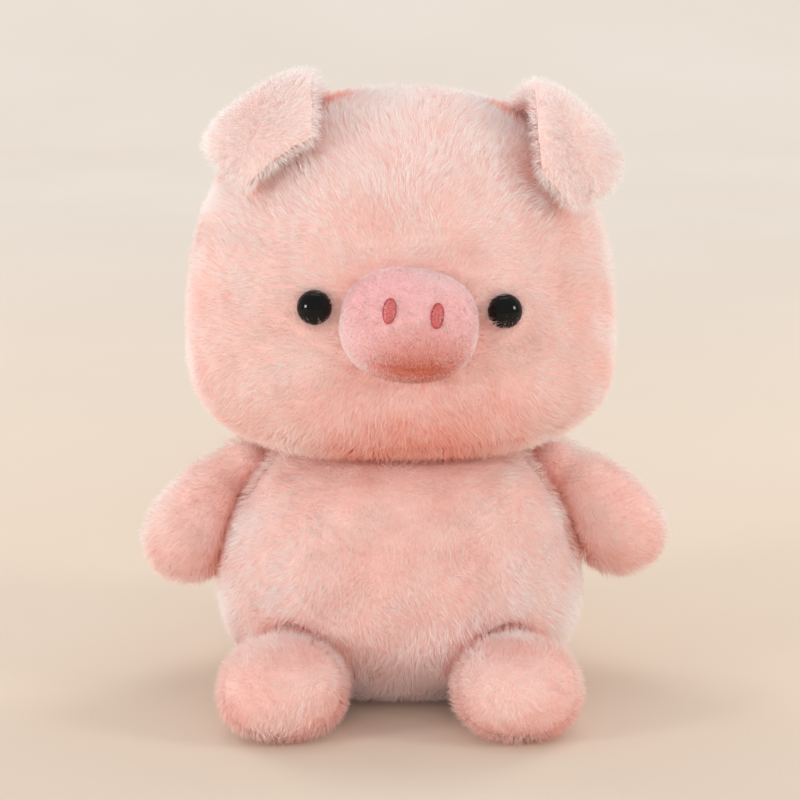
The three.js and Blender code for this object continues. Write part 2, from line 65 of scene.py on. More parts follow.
class Dye:
    """A socket of a material. Sums and products of dyes add Math nodes."""

    def __init__(self, tree, socket=None):
        self.tree = tree
        self.socket = socket

    def node(self, kind, settings, sockets, out=0):
        """A new node with these settings and sockets, as the dye of one of its outputs."""
        made = self.tree.nodes.new("ShaderNode" + kind)
        for name, value in settings.items():
            if name == "stops":
                ramp = made.color_ramp.elements
                while len(ramp) < len(value):
                    ramp.new(0.5)
                for stop, (position, colour) in zip(ramp, value):
                    stop.position = position
                    stop.color = colour
            else:
                setattr(made, name, value)
        for name, value in sockets.items():
            if isinstance(value, Dye):
                self.tree.links.new(value.socket, made.inputs[name])
            else:
                made.inputs[name].default_value = value
        return Dye(self.tree, made.outputs[out] if made.outputs else None)

    def reckon(self, operation, first, second):
        return self.node("Math", {"operation": operation}, {0: first, 1: second})

    def __add__(self, other):
        return self.reckon("ADD", self, other)

    def __radd__(self, other):
        return self.reckon("ADD", other, self)

    def __sub__(self, other):
        return self.reckon("SUBTRACT", self, other)

    def __rsub__(self, other):
        return self.reckon("SUBTRACT", other, self)

    def __mul__(self, other):
        return self.reckon("MULTIPLY", self, other)

    def __rmul__(self, other):
        return self.reckon("MULTIPLY", other, self)


def blank(name):
    """A new material with no nodes, and the dye that adds them."""
    material = bpy.data.materials.new(name)
    material.use_nodes = True
    material.node_tree.nodes.clear()
    return material, Dye(material.node_tree)


def mottled(dye, mask, dark, light):
    """A colour that drifts between two screen colours with a noise."""
    stops = [(0.3, screen(*dark)), (0.7, screen(*light))]
    return dye.node("ValToRGB", {"stops": stops}, {"Fac": mask})


def coat(dye, sockets):
    """Ends a material with a Principled shader that has these sockets."""
    dye.node("OutputMaterial", {}, {"Surface": dye.node("BsdfPrincipled", {}, sockets)})


def place(name, bm):
    """A drawn mesh as a smooth-shaded object at the origin."""
    mesh = bpy.data.meshes.new(name)
    bm.to_mesh(mesh)
    bm.free()
    mesh.shade_smooth()
    made = bpy.data.objects.new(name, mesh)
    scene.collection.objects.link(made)
    return made


CAMERA_AT = Vector((0, -1.0271, 0.3213))
CAMERA_AIM = Vector((0, 0, 0.103))
camera = bpy.data.objects.new("camera", bpy.data.cameras.new("camera"))
camera.data.lens = 131.25
camera.data.sensor_width = 36
camera.location = CAMERA_AT
camera.rotation_euler = (CAMERA_AIM - CAMERA_AT).to_track_quat("-Z", "Y").to_euler()
scene.collection.objects.link(camera)
scene.camera = camera
scene.view_settings.view_transform = "Standard"

FLOOR_HALF = 2.5
SWEEP = 0.9
SWEEP_STEPS = 24
bm = bmesh.new()
bmesh.ops.create_grid(bm, x_segments=1, y_segments=1, size=FLOOR_HALF)
rear = [edge for edge in bm.edges if all(v.co.y > 0 for v in edge.verts)]
risen = bmesh.ops.extrude_edge_only(bm, edges=rear)["geom"]
risen = [g for g in risen if isinstance(g, bmesh.types.BMVert)]
bmesh.ops.translate(bm, vec=(0, 0, FLOOR_HALF), verts=risen)
bmesh.ops.bevel(
    bm, geom=rear, offset=SWEEP, affect="EDGES", segments=SWEEP_STEPS, profile=0.5, material=-1
)
backdrop = place("backdrop", bm)

# The rear of the paper is as pale to the camera as a lit wall, and still takes the toy's shadow in front.
WALL_STARTS = 0.15
WALL_FULL = 1.2
paper, dye = blank("backdrop_paper")
spot = dye.node("TexCoord", {}, {}, "Object")
mottle = dye.node("TexNoise", {}, {"Vector": spot, "Scale": 3.0, "Detail": 4.0})
floor = mottled(dye, mottle, (224, 209, 192), (228, 214, 198))
matt = dye.node("BsdfPrincipled", {}, {"Base Color": floor, "Roughness": 0.9, "Specular IOR Level": 0.2})
shade = mottled(dye, mottle, (233, 221, 209), (237, 226, 215))
wall = dye.node("Emission", {}, {"Color": shade, "Strength": 1.0})
seen = dye.node("LightPath", {}, {}, "Is Camera Ray")
for ray in ("Is Glossy Ray", "Is Transmission Ray"):
    seen = seen + dye.node("LightPath", {}, {}, ray)
depth = dye.node("SeparateXYZ", {}, {"Vector": spot}, "Y")
far = dye.node("MapRange", {"interpolation_type": "SMOOTHSTEP"}, {
    "Value": depth, "From Min": WALL_STARTS, "From Max": WALL_FULL
})
dye.node("OutputMaterial", {}, {"Surface": dye.node("MixShader", {}, {"Fac": seen * far, 1: matt, 2: wall})})
backdrop.data.materials.append(paper)

# A panel's share is how bright a white card that faces it looks, where 1 is white.
LIGHT_AIM = Vector((0, 0, 0.11))
ROOM_SHARE = 0.56
PANELS = {
    "panel_left": {"at": (-1.1, -0.75, 0.36), "size": 0.28, "share": 0.32, "tint": (1.0, 0.99, 0.98)},
    "panel_right": {"at": (1.1, -0.5, 0.5), "size": 0.28, "share": 0.26, "tint": (1.0, 0.95, 0.9)},
    "panel_above": {"at": (0.0, 0.3, 1.25), "size": 0.9, "share": 0.2, "tint": (1.0, 0.98, 0.96)},
    "panel_behind_left": {"at": (-0.9, 0.9, 0.6), "size": 0.6, "share": 0.26, "tint": (1.0, 0.98, 0.96)},
    "panel_behind_right": {"at": (0.9, 0.9, 0.6), "size": 0.6, "share": 0.26, "tint": (1.0, 0.98, 0.96)},
    "panel_front": {"at": (0.0, -1.6, 0.3), "size": 0.9, "share": 0.15, "tint": (1.0, 0.97, 0.94)},
}
for name, panel in PANELS.items():
    lamp = bpy.data.objects.new(name, bpy.data.lights.new(name, "AREA"))
    lamp.location = panel["at"]
    reach = LIGHT_AIM - lamp.location
    lamp.rotation_euler = reach.to_track_quat("-Z", "Y").to_euler()
    lamp.data.size = panel["size"]
    lamp.data.energy = panel["share"] * math.pi ** 2 * reach.length_squared
    lamp.data.color = panel["tint"]
    lamp.visible_glossy = name != "panel_front"
    scene.collection.objects.link(lamp)
scene.world = bpy.data.worlds.new("room")
scene.world.use_nodes = True
room_light = scene.world.node_tree.nodes["Background"]
room_light.inputs["Color"].default_value = (1.0, 0.99, 0.98, 1.0)
room_light.inputs["Strength"].default_value = ROOM_SHARE


# Body: a pear-shaped bag of long-pile plush, sewn inside out, turned, stuffed with fibre and closed at
# the neck. Its pile lies downwards and fans out over the belly.

MM = 0.001


def copied(*nodes):
    """The meshes of some CAD nodes in one bmesh."""
    bm = bmesh.new()
    for node in nodes:
        bm.from_mesh(frame["nodes"][node].data)
    return bm


def joined(verts):
    """These vertices and all that edges link them to."""
    reached = set(verts)
    front = list(reached)
    while front:
        near = {edge.other_vert(v) for v in front for edge in v.link_edges} - reached
        reached |= near
        front = list(near)
    return reached


def stuffed(name, *nodes, voxel=1.6 * MM, rounds=10):
    """A padded skin over the CAD nodes of a cover and its filling: their faces sealed and smoothed."""
    bm = copied(*nodes)
    bmesh.ops.remove_doubles(bm, verts=bm.verts, dist=0.001 * MM)
    rough = place(name + "_rough", bm)
    sealing = rough.modifiers.new("seal", "REMESH")
    sealing.mode = "VOXEL"
    sealing.voxel_size = voxel
    sealed = bpy.data.meshes.new_from_object(rough.evaluated_get(bpy.context.evaluated_depsgraph_get()))
    bpy.data.objects.remove(rough)
    bm = bmesh.new()
    bm.from_mesh(sealed)
    bpy.data.meshes.remove(sealed)
    outer = joined([max(bm.verts, key=lambda v: v.co.z)])
    bmesh.ops.delete(bm, geom=[v for v in bm.verts if v not in outer], context="VERTS")
    for _ in range(rounds):
        bmesh.ops.smooth_vert(
            bm, verts=bm.verts, factor=0.5, use_axis_x=True, use_axis_y=True, use_axis_z=True
        )
    return place(name, bm)


WAVES = 7
WAVE_HEIGHT = 0.55


def waves(points, size, seed):
    """A smooth random vector, about -1 to 1, at each point, that changes over the given length."""
    rng = np.random.default_rng(seed)
    found = np.zeros_like(points)
    for _ in range(WAVES):
        step = rng.normal(size=3) / size
        turn = rng.uniform(0, 2 * math.pi, 3)
        found += np.sin((points @ step)[:, None] + turn) * WAVE_HEIGHT
    return found


def unit(vectors):
    """Vectors made one long."""
    return vectors / np.maximum(np.linalg.norm(vectors, axis=-1, keepdims=True), 1e-9)


def soft_step(values, low, high):
    """0 below the low value, 1 above the high one, with a smooth rise between."""
    share = np.clip((values - low) / (high - low), 0, 1)
    return share * share * (3 - 2 * share)


def gap_to(points, far, *nodes):
    """How far each point is from the nearest of some CAD nodes, up to a distance."""
    bm = copied(*nodes)
    tree = BVHTree.FromBMesh(bm)
    bm.free()
    gaps = [tree.find_nearest(point, far)[3] for point in points]
    return np.array([far if gap is None else gap for gap in gaps])


def crease(points, reach, *nodes):
    """How deep each point lies in the crease beside some CAD nodes: 1 against them, 0 past a distance."""
    return 1 - soft_step(gap_to(points, reach, *nodes), 0, reach)


def scatter(skin, density, seed):
    """Random points all over a skin, with its normals there."""
    rng = np.random.default_rng(seed)
    mesh = skin.data
    mesh.calc_loop_triangles()
    corners = np.empty(len(mesh.loop_triangles) * 3, np.int32)
    mesh.loop_triangles.foreach_get("vertices", corners)
    spots = np.empty(len(mesh.vertices) * 3, np.float32)
    mesh.vertices.foreach_get("co", spots)
    outward = np.empty(len(mesh.vertices) * 3, np.float32)
    mesh.vertex_normals.foreach_get("vector", outward)
    corners = corners.reshape(-1, 3)
    spots = spots.reshape(-1, 3)[corners].astype(float)
    outward = outward.reshape(-1, 3)[corners].astype(float)
    size = np.linalg.norm(np.cross(spots[:, 1] - spots[:, 0], spots[:, 2] - spots[:, 0]), axis=1) / 2
    total = np.cumsum(size)
    count = int(total[-1] * density)
    pick = np.searchsorted(total, rng.random(count) * total[-1])
    first, second = rng.random((2, count))
    over = first + second > 1
    first[over], second[over] = 1 - first[over], 1 - second[over]
    share = np.stack([1 - first - second, first, second], axis=1)[:, :, None]
    return (spots[pick] * share).sum(axis=1), unit((outward[pick] * share).sum(axis=1))


WAIST = 0.4


def fibre_shape():
    """One fibre: a spindle of three sides along z from 0 to 1, thickest at its waist."""
    bm = bmesh.new()
    bmesh.ops.create_cone(bm, cap_ends=True, segments=3, radius1=1, radius2=0, depth=1 - WAIST)
    bmesh.ops.translate(bm, vec=(0, 0, (1 + WAIST) / 2), verts=bm.verts)
    start = max(bm.verts, key=lambda v: v.co.xy.length).co
    turn = math.pi / 2 - math.atan2(start.y, start.x)
    bmesh.ops.rotate(bm, matrix=Matrix.Rotation(turn, 3, "Z"), verts=bm.verts)
    foot = min(bm.faces, key=lambda face: face.calc_center_median().z)
    bmesh.ops.poke(bm, faces=[foot], offset=WAIST)
    bmesh.ops.recalc_face_normals(bm, faces=bm.faces)
    spots = np.array([v.co for v in bm.verts])
    corners = np.array([[v.index for v in face.verts] for face in bm.faces])
    bm.free()
    return spots, corners


FIBRE_SPOTS, FIBRE_FACES = fibre_shape()


def fibre_mesh(name, spots, chart):
    """A mesh of many fibres, from the places of their corners and where these lie on the colour chart."""
    mesh = bpy.data.meshes.new(name)
    corners = (np.arange(len(spots))[:, None, None] * len(FIBRE_SPOTS) + FIBRE_FACES).reshape(-1)
    mesh.vertices.add(len(spots) * len(FIBRE_SPOTS))
    mesh.vertices.foreach_set("co", spots.astype(np.float32).reshape(-1))
    mesh.loops.add(len(corners))
    mesh.loops.foreach_set("vertex_index", corners.astype(np.int32))
    mesh.polygons.add(len(corners) // 3)
    mesh.polygons.foreach_set("loop_start", np.arange(0, len(corners), 3, dtype=np.int32))
    mesh.update(calc_edges=True)
    layer = mesh.uv_layers.new(name="OFBake")
    layer.data.foreach_set("uv", chart.reshape(-1, 2)[corners].astype(np.float32).reshape(-1))
    mesh.shade_flat()
    return mesh


# A fibre is flatter than it is wide. Lengths and widths are shares of the pile's own, and leans are degrees
# from upright, first below the waist and then above it.
FIBRE_FLAT, FIBRE_FACING = 0.35, 0.35
FIBRE_LENGTHS, FIBRE_WIDTHS = (0.72, 1.12), (0.7, 1.2)
LAY_DRIFT, LAY_STRAY = 0.45, 0.4
PLUSH_LEAN, LEAN_STRAY = (24, 50), 9
TUFT_FIBRES, TUFT_SPLIT, TUFT_OPEN = 26, 8 * MM, 0.35
ROOT_DEPTH, FLOOR_GAP = 0.3 * MM, 0.3 * MM
TONE_DRIFT, TONE_STRAY = 0.06, 0.07
CHART_EDGE, CHART_HALF = 0.02, 0.004
MOST_FIBRES = 33000


def pile(
    name, body, finish, roots, normals, lay, length, tone, seed,
    width=0.21 * MM, lean=PLUSH_LEAN, pull=0.3,
):
    """Pile: fibres that stand on a skin, lean the way it is combed and gather into tufts."""
    rng = np.random.default_rng(seed)
    count = len(roots)
    lay = unit(lay) + LAY_DRIFT * waves(roots, 7 * MM, seed + 1) + LAY_STRAY * rng.normal(size=(count, 3))
    lay = unit(lay - normals * (lay * normals).sum(axis=1, keepdims=True))
    length = (length * rng.uniform(*FIBRE_LENGTHS, count))[:, None]
    low, high = (np.radians(angle + LEAN_STRAY * rng.normal(size=count))[:, None] for angle in lean)
    waists = roots + WAIST * length * (normals * np.cos(low) + lay * np.sin(low))
    tips = waists + (1 - WAIST) * length * (normals * np.cos(high) + lay * np.sin(high))

    # The first fibres lead a tuft each. A search out along the normals keeps a tuft on one side of a fold.
    leaders = max(1, count // TUFT_FIBRES)
    sides = roots + TUFT_SPLIT * normals
    tree = KDTree(leaders)
    for i in range(leaders):
        tree.insert(sides[i], i)
    tree.balance()
    lead = np.array([tree.find(spot)[1] for spot in sides])
    gather = (pull * rng.uniform(0.2, 1.0, count))[:, None]
    tips += gather * (tips[lead] - tips - TUFT_OPEN * (roots[lead] - roots))
    feet = roots - ROOT_DEPTH * normals
    for spots in (feet, waists, tips):
        spots[:, 2] = np.maximum(spots[:, 2], FLOOR_GAP)

    facing = unit(normals + FIBRE_FACING * rng.normal(size=(count, 3)))
    across = unit(np.cross(facing, tips - feet))
    crown = unit(np.cross(tips - feet, across))
    breadth = width / 2 * rng.uniform(*FIBRE_WIDTHS, count)[:, None]
    tone = tone + TONE_DRIFT * waves(roots, 5 * MM, seed + 2)[:, 0] + TONE_STRAY * rng.normal(size=count)
    tone = np.clip(tone, 0.03, 0.97)
    spots = np.empty((count, len(FIBRE_SPOTS), 3))
    for k, (x, y, z) in enumerate(FIBRE_SPOTS):
        if z <= WAIST:
            base, top, share = feet, waists, z / WAIST
        else:
            base, top, share = waists, tips, (z - WAIST) / (1 - WAIST)
        spots[:, k] = base + (top - base) * share + breadth * (x * across + FIBRE_FLAT * y * crown)
    chart = np.empty((count, len(FIBRE_SPOTS), 2))
    chart[:, :, 0] = tone[:, None] + CHART_HALF * FIBRE_SPOTS[:, 0]
    chart[:, :, 1] = FIBRE_SPOTS[:, 2] * (1 - 2 * CHART_EDGE) + CHART_EDGE

    east, north = (roots[:, axis] - roots[:, axis].mean() for axis in (0, 1))
    order = np.argsort(np.arctan2(east, north))
    for number, part in enumerate(np.array_split(order, -(-count // MOST_FIBRES)), 1):
        mesh = fibre_mesh(f"{name}_{number}", spots[part], chart[part])
        mesh.materials.append(finish)
        swathe = bpy.data.objects.new(f"{name}_{number}", mesh)
        scene.collection.objects.link(swathe)
        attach(swathe, body)


def fibre_finish(name, deep, pale):
    """The finish of fibres that differ in tone from deep to pale, each with stops from root to tip."""
    material, dye = blank(name)
    chart = dye.node("UVMap", {"uv_map": "OFBake"}, {})
    tone = dye.node("SeparateXYZ", {}, {"Vector": chart}, "X")
    height = dye.node("SeparateXYZ", {}, {"Vector": chart}, "Y")
    ends = []
    for colours in (deep, pale):
        stops = [(position, screen(*colour)) for position, colour in colours]
        ends.append(dye.node("ValToRGB", {"stops": stops}, {"Fac": height}))
    colour = dye.node("MixRGB", {}, {"Fac": tone, "Color1": ends[0], "Color2": ends[1]})
    coat(dye, {"Base Color": colour, "Roughness": 0.8, "Specular IOR Level": 0.0})
    return material


def knitted(name, deep, pale):
    """The knitted backing that the pile stands in."""
    material, dye = blank(name)
    spot = dye.node("TexCoord", {}, {}, "Object")
    knit = dye.node("TexVoronoi", {}, {"Vector": spot, "Scale": 900.0})
    patch = dye.node("TexNoise", {}, {"Vector": spot, "Scale": 60.0, "Detail": 3.0})
    bump = dye.node("Bump", {}, {"Height": knit, "Strength": 0.6, "Distance": 0.3 * MM})
    coat(dye, {"Base Color": mottled(dye, patch, deep, pale), "Roughness": 0.9, "Normal": bump})
    return material


def cover(name, body, fill, backing, *nodes, **care):
    """A stuffed plush skin that stands for its CAD cover and filling and moves with a body."""
    skin = stuffed(name, *nodes, **care)
    skin.data.materials.append(backing)
    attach(skin, body)
    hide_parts(*nodes)
    return skin


ON_FLOOR = 1.2 * MM
UNDERSIDE = -0.6
PRESSED = 1.0 * MM


def bare(roots, normals, *others):
    """The roots that have room for pile: off the floor and not pressed against another piece."""
    clear = (roots[:, 2] > ON_FLOOR) | (normals[:, 2] > UNDERSIDE)
    clear &= gap_to(roots, 2 * MM, *others) > PRESSED
    return roots[clear], normals[clear]


# Painted shade: the pile's tone is deeper and warmer in the creases, for the shade and warm bounced light
# there.
SIDES = ("left", "right")
LIMBS = [f"{limb}_{side}_cover" for limb in ("arm", "leg") for side in SIDES]
DENSITY = 2.06e6
PILE = 5.6 * MM
FAN_OUT, FAN_BACK = 7, 3
BELLY_TONE, FLANK_PAINTED_LIGHT, CREASE_PAINTED_SHADE = 0.75, 0.18, 0.8
plush_pile = fibre_finish(
    "plush_pile",
    [(0.0, (242, 116, 84)), (0.4, (250, 154, 130)), (1.0, (252, 184, 166))],
    [(0.0, (255, 234, 230)), (0.4, (255, 248, 246)), (1.0, (255, 254, 253))],
)
plush_back = knitted("plush_backing", (251, 204, 195), (254, 219, 212))
body_skin = cover("body_skin", "body", 0.8, plush_back, "body_cover", "body_stuffing")
roots, normals = bare(*scatter(body_skin, DENSITY, seed=11), "head_cover", *LIMBS)
lay = np.stack([roots[:, 0] * FAN_OUT, roots[:, 1] * FAN_BACK, np.full(len(roots), -1.0)], axis=1)
# Painted light: the belly's sides are paler than its middle, where the side light falls on them.
tone = BELLY_TONE + FLANK_PAINTED_LIGHT * soft_step(np.abs(roots[:, 0]), 15 * MM, 50 * MM)
# Painted shade: the pile is deeper where the body meets the head and the limbs.
tone -= CREASE_PAINTED_SHADE * crease(roots, 12 * MM, "head_cover") + CREASE_PAINTED_SHADE * crease(roots, 10 * MM, *LIMBS)
pile("body_pile", "body", plush_pile, roots, normals, lay, PILE, tone, seed=12, pull=0.4)


# Legs: two short stuffed feet of the same plush, sewn to the front of the body and resting on the floor.
# The pile runs forward along each foot, drops over its toe and turns back where it meets the body.

TOEWARDS = np.array((0.0, -1.0, -0.45))
TURNED_BACK = np.array((0.0, 2.0, 1.2))
LEG_TONE, HIP_PAINTED_SHADE, SOLE_PAINTED_SHADE = 0.82, 0.4, 0.25
for number, side in enumerate(SIDES):
    leg = f"leg_{side}"
    leg_skin = cover(f"{leg}_skin", leg, 0.9, plush_back, f"{leg}_cover", f"{leg}_stuffing")
    roots, normals = bare(*scatter(leg_skin, DENSITY, seed=21 + number), "body_cover")
    lay = TOEWARDS + crease(roots, 14 * MM, "body_cover")[:, None] * TURNED_BACK
    # Painted shade: the foot's pile is deeper where it meets the body.
    tone = LEG_TONE - HIP_PAINTED_SHADE * crease(roots, 8 * MM, "body_cover")
    # Painted shade: the foot's pile is deeper towards the floor.
    tone -= SOLE_PAINTED_SHADE * (1 - soft_step(roots[:, 2], 4 * MM, 24 * MM))
    pile(f"{leg}_pile", leg, plush_pile, roots, normals, lay, PILE, tone, seed=30 + 5 * number)


# Arms: two tapered stuffed tubes of the same plush, sewn on below the shoulders so that they hang a
# little away from the body. The pile runs down to the hands.

ARM_TONE, ARM_PAINTED_LIGHT = 0.66, 0.22
pivots = {joint["name"]: np.array(joint["pos_m"], float) for joint in frame["joints"]}
for number, side in enumerate(SIDES):
    arm = f"arm_{side}"
    arm_skin = cover(f"{arm}_skin", arm, 0.8, plush_back, f"{arm}_cover", f"{arm}_stuffing")
    roots, normals = bare(*scatter(arm_skin, DENSITY, seed=41 + number), "body_cover", "head_cover")
    lay = np.tile(roots.mean(axis=0) - pivots[f"{arm}_swing"], (len(roots), 1))
    # Painted light: the arm is paler on its top and outer side, which face the light.
    tone = ARM_TONE + ARM_PAINTED_LIGHT * soft_step(normals[:, 2] + np.abs(normals[:, 0]), 0.4, 1.2)
    # Painted shade: the arm's pile is deeper next to the body and the head.
    tone -= CREASE_PAINTED_SHADE * crease(roots, 11 * MM, "body_cover", "head_cover")
    pile(f"{arm}_pile", arm, plush_pile, roots, normals, lay, PILE, tone, seed=50 + 5 * number)


# Seams: where the head, arms and legs are sewn on, the raw edges roll into a cord of cloth whipped round
# with thread.

def principal(node):
    """The middle of a CAD node, its axes from its longest extent to its shortest, and its corners."""
    spots = np.array([v.co for v in frame["nodes"][node].data.vertices])
    middle = (spots.max(axis=0) + spots.min(axis=0)) / 2
    axes = np.linalg.svd(spots - spots.mean(axis=0), full_matrices=False)[2]
    return middle, axes, spots


def off_axis(spots, middle, axis):
    """How far along an axis each spot is, and how far out from it."""
    rise = (spots - middle) @ axis
    return rise, np.linalg.norm(spots - middle - rise[:, None] * axis, axis=1)


seam_cloth, dye = blank("seam_cloth")
spot = dye.node("TexCoord", {}, {}, "Object")
twist = dye.node("TexNoise", {}, {"Vector": spot, "Scale": 700.0, "Detail": 3.0})
colour = mottled(dye, twist, (214, 122, 104), (234, 156, 140))
bump = dye.node("Bump", {}, {"Height": twist, "Strength": 0.5, "Distance": 0.2 * MM})
coat(dye, {"Base Color": colour, "Roughness": 0.85, "Normal": bump})

STITCHES = 40
STEPS_A_STITCH = 4
STITCH_BITE = 0.14
STITCH_SLANT = 900
SEAM_BODIES = {"neck_seam": "neck"}
for side in SIDES:
    SEAM_BODIES[f"shoulder_{side}_seam"] = f"shoulder_{side}"
    SEAM_BODIES[f"hip_{side}_seam"] = "body"
for node, body in SEAM_BODIES.items():
    middle, axes, spots = principal(node)
    _, reach = off_axis(spots, middle, axes[2])
    thick = (reach.max() - reach.min()) / 2
    bm = bmesh.new()
    bmesh.ops.create_circle(bm, segments=8, radius=thick, matrix=Matrix.Rotation(math.pi / 2, 4, "X"))
    bmesh.ops.translate(bm, vec=((reach.max() + reach.min()) / 2, 0, 0), verts=bm.verts)
    bmesh.ops.spin(
        bm, geom=bm.verts[:] + bm.edges[:], cent=(0, 0, 0), axis=(0, 0, 1), angle=2 * math.pi,
        steps=STITCHES * STEPS_A_STITCH, use_merge=True
    )
    bmesh.ops.remove_doubles(bm, verts=bm.verts, dist=0.01 * MM)
    bmesh.ops.recalc_face_normals(bm, faces=bm.faces)
    bm.normal_update()
    for v in bm.verts:
        turn = STITCHES * math.atan2(v.co.y, v.co.x) + STITCH_SLANT * v.co.z
        v.co -= v.normal * thick * STITCH_BITE * (1 + math.cos(turn))
    turned = Matrix((axes[0], axes[1], np.cross(axes[0], axes[1]))).transposed().to_4x4()
    bmesh.ops.transform(bm, matrix=Matrix.Translation(middle) @ turned, verts=bm.verts)
    rolled = place(node.replace("_seam", "_rolled_seam"), bm)
    rolled.data.materials.append(seam_cloth)
    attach(rolled, body)
    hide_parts(node)


# Head: a large rounded box of long-pile plush, stuffed firm. The pile spreads away from the snout, up the
# forehead and out over the cheeks, lies down at the back, and leans over the rims of the eyes.

def headroom(points, outward, far, *nodes):
    """How far each point can go outwards before it meets one of some CAD nodes, up to a distance."""
    bm = copied(*nodes)
    tree = BVHTree.FromBMesh(bm)
    bm.free()
    rooms = [tree.ray_cast(point, way, far)[3] for point, way in zip(points, outward)]
    return np.array([far if room is None else room for room in rooms])


def centre(node):
    """The middle of a CAD node's box."""
    return np.array(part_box(node)).mean(axis=0)


EYES = [f"eye_{side}" for side in SIDES]
EARS = [f"ear_{side}_{layer}" for side in SIDES for layer in ("panel", "lining")]
DOWN_THE_BACK = np.array((0.0, 0.3, -1.0))
DOWN_THE_CHIN = np.array((0.0, -0.4, -1.0))
UNDER_EAR, STUBBLE = 9 * MM, 1.5 * MM
LASH_UPRIGHT, LASH_LONGER = (8, 15), 0.4
CHIN_LONGER, MUZZLE_SHORTER = 0.35, 0.4
HEAD_TONE, CROWN_PAINTED_LIGHT = 0.8, 0.19
CHIN_PAINTED_SHADE, CHIN_SHADE_SHIFT = 0.6, 7 * MM
MUZZLE_PAINTED_SHADE, NECK_PAINTED_SHADE = 0.3, 0.7
EAR_ROOT_PAINTED_SHADE, UNDER_EAR_PAINTED_SHADE = 0.8, 0.2
head_skin = cover("head_skin", "head", 0.9, plush_back, "head_cover", "head_stuffing")
roots, normals = bare(*scatter(head_skin, DENSITY, seed=61), "body_cover")
eye_gap = gap_to(roots, 8 * MM, *EYES)
snout_gap = gap_to(roots, 8 * MM, "snout_cover")
clear = (eye_gap > 0.1 * MM) & (snout_gap > 0.5 * MM)
roots, normals, eye_gap, snout_gap = roots[clear], normals[clear], eye_gap[clear], snout_gap[clear]

muzzle, *eye_spots = (centre(node) for node in ("snout_cover", *EYES))
back = soft_step(roots[:, 1], 0.0, 40 * MM)
chin = 1 - soft_step(roots[:, 2], 88 * MM, 104 * MM)
inward = unit(np.where(roots[:, :1] > 0, *eye_spots) - roots)
lash = (1 - soft_step(eye_gap, 0.5 * MM, 5 * MM)) * np.clip(np.abs(inward[:, 0]) + inward[:, 2], 0, 1)
lay = unit(roots - muzzle) * (1 - back[:, None]) + back[:, None] * DOWN_THE_BACK
lay += 2 * chin[:, None] * DOWN_THE_CHIN
lay += 4 * lash[:, None] * inward
lean = [angle - less * lash for angle, less in zip(PLUSH_LEAN, LASH_UPRIGHT)]
by_snout = 1 - MUZZLE_SHORTER + MUZZLE_SHORTER * soft_step(snout_gap, 0, 7 * MM)
length = PILE * (1 + LASH_LONGER * lash) * by_snout * (1 + CHIN_LONGER * chin)
room = headroom(roots, normals, UNDER_EAR, *EARS)
length = np.minimum(length, STUBBLE + room)

# Painted light: the pile is paler towards the top of the head, where the light from above falls.
tone = HEAD_TONE + CROWN_PAINTED_LIGHT * soft_step(roots[:, 2], 145 * MM, 200 * MM)
# Painted shade: the lower face is deeper in the middle under the snout, with the shade's middle shifted
# sideways.
chin_shade_spread = 1 - 0.8 * soft_step(np.abs(roots[:, 0] - CHIN_SHADE_SHIFT), 18 * MM, 46 * MM)
tone -= CHIN_PAINTED_SHADE * (1 - soft_step(roots[:, 2], 92 * MM, 137 * MM)) * (1 - back) * chin_shade_spread
# Painted shade: the pile is deeper in the crease round the snout.
tone -= MUZZLE_PAINTED_SHADE * crease(roots, 5 * MM, "snout_cover")
# Painted shade: the head's pile is deeper beside the ears, strongly where it is open and a little where an
# ear lies over it.
beside_ear_shade = 1 - soft_step(gap_to(roots, 18 * MM, *EARS), 4 * MM, 12 * MM)
tone -= np.where(room < UNDER_EAR, UNDER_EAR_PAINTED_SHADE, EAR_ROOT_PAINTED_SHADE) * beside_ear_shade
# Painted shade: the pile is deeper in the crease above the neck.
tone -= NECK_PAINTED_SHADE * crease(roots, 13 * MM, "body_cover")
pile("head_pile", "head", plush_pile, roots, normals, lay, length, tone, seed=62, lean=lean)


# Snout: an oval pad of short velour in a deeper pink, stuffed and sewn to the face, with a crease where
# the seam allowance pulls in below. Towards its foot, velour and nap are painted deeper and more orange as
# shade.

SHADE_SIDE = 5 * MM
SHADE_CURVE = 25
SHADE_LOW, SHADE_HIGH = -18 * MM, 8 * MM
velour, dye = blank("velour")
spot = dye.node("TexCoord", {}, {}, "Object")
nap = dye.node("TexNoise", {}, {"Vector": spot, "Scale": 1400.0, "Detail": 4.0, "Roughness": 0.7})
patch = dye.node("TexNoise", {}, {"Vector": spot, "Scale": 120.0, "Detail": 3.0})
mottle = nap * 0.6 + patch * 0.4
pale = mottled(dye, mottle, (255, 194, 196), (255, 216, 218))
deep = mottled(dye, mottle, (212, 112, 86), (230, 142, 114))
# Painted shade: the velour goes from its pale colour at the top to its deep colour towards its foot, with
# the shade's middle set to one side.
across = dye.node("SeparateXYZ", {}, {"Vector": spot}, "X") - (muzzle[0] + SHADE_SIDE)
rise = dye.node("SeparateXYZ", {}, {"Vector": spot}, "Z") + across * across * SHADE_CURVE
rise = dye.node("MapRange", {"interpolation_type": "SMOOTHSTEP"}, {
    "Value": rise, "From Min": muzzle[2] + SHADE_LOW, "From Max": muzzle[2] + SHADE_HIGH
})
colour = dye.node("MixRGB", {}, {"Fac": rise, "Color1": deep, "Color2": pale})
bump = dye.node("Bump", {}, {"Height": nap, "Strength": 0.6, "Distance": 0.25 * MM})
coat(dye, {
    "Base Color": colour, "Roughness": 0.85, "Specular IOR Level": 0.2, "Normal": bump,
    "Sheen Weight": 0.35, "Sheen Roughness": 0.4, "Sheen Tint": screen(255, 226, 222),
})

